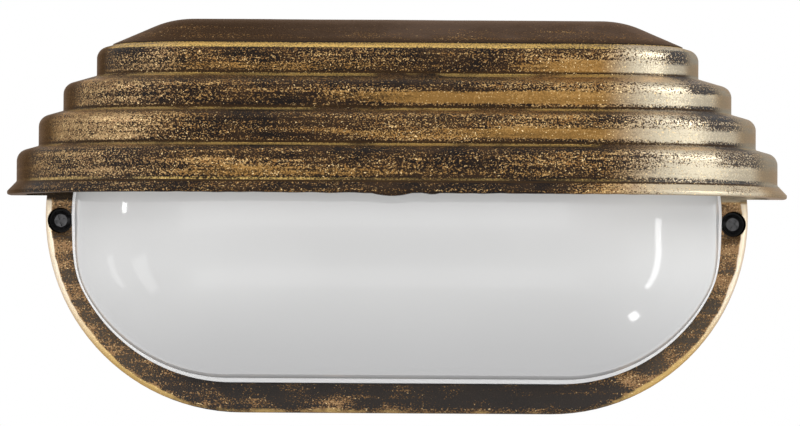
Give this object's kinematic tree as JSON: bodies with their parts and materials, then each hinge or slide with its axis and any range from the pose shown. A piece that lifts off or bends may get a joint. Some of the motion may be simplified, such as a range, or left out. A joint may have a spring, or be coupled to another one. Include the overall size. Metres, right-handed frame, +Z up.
{
  "type": "bulkhead light",
  "caption": "Oval outdoor wall light with an opal glass bowl under a stepped cast hood, black and antique gold, with its lamp, holder and terminals inside.",
  "frame": {"origin": "centre of the back face that lies on the wall, midway between the fixing holes", "axes": "+X to the right as seen from the front, +Y into the wall, +Z up"},
  "size_m": [0.2652, 0.1216, 0.1344],
  "materials": {
    "patina": "black-brown lacquer rubbed with antique gold",
    "opal": "glossy opal white",
    "rubber": "matte",
    "zinc": "zinc plated",
    "porcelain": "glazed",
    "brass": "satin",
    "bulb_glass": "satin white",
    "brown_wire": "satin",
    "blue_wire": "satin",
    "earth_wire": "satin"
  },
  "bodies": {
    "root": {"back_box": "patina", "front_frame": "patina", "opal_glass": "opal", "glass_seal": "rubber", "box_seal": "rubber", "glass_clips": "zinc", "clip_screws": "zinc", "cover_screws": "zinc", "cover_screw_washers": "rubber", "holder_bracket": "zinc", "bracket_screws": "zinc", "lampholder": "porcelain", "screw_shell": "brass", "centre_contact": "brass", "holder_screws": "zinc", "bulb": "bulb_glass", "terminal_block": "porcelain", "terminal_barrels": "brass", "terminal_screws": "zinc", "block_screws": "zinc", "earth_screw": "brass", "earth_washer": "zinc", "earth_tag": "zinc", "cable_grommet": "rubber", "live_lead": "brown_wire", "neutral_lead": "blue_wire", "earth_lead": "earth_wire"}
  },
  "joints": []
}
